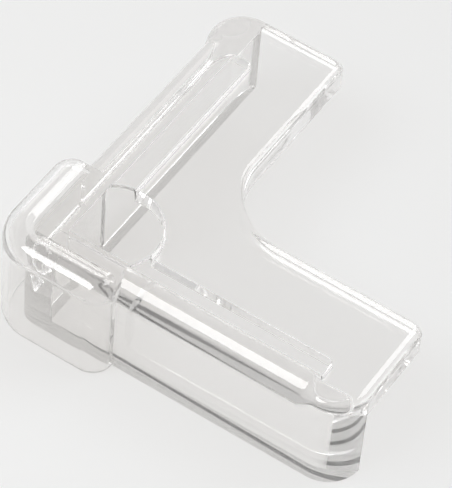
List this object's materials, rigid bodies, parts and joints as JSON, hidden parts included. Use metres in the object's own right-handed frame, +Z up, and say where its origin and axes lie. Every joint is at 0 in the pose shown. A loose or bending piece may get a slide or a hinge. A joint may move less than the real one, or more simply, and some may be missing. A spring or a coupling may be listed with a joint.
{
  "type": "furniture corner protector",
  "caption": "Clear L-shaped guard that sits on a furniture corner, with skirts down both sides and a hollow rounded bumper round the outer corner.",
  "frame": {"origin": "below the middle of the guard's square plan, at the level of its foot", "axes": "+Z up, out of the furniture's top; +X and +Y along the two arms, away from the furniture's corner"},
  "size_m": [0.0588, 0.0588, 0.0184],
  "materials": {
    "clear_plastic": "clear, glossy, colourless soft plastic"
  },
  "bodies": {
    "root": {"corner_guard": "clear_plastic"}
  },
  "joints": []
}
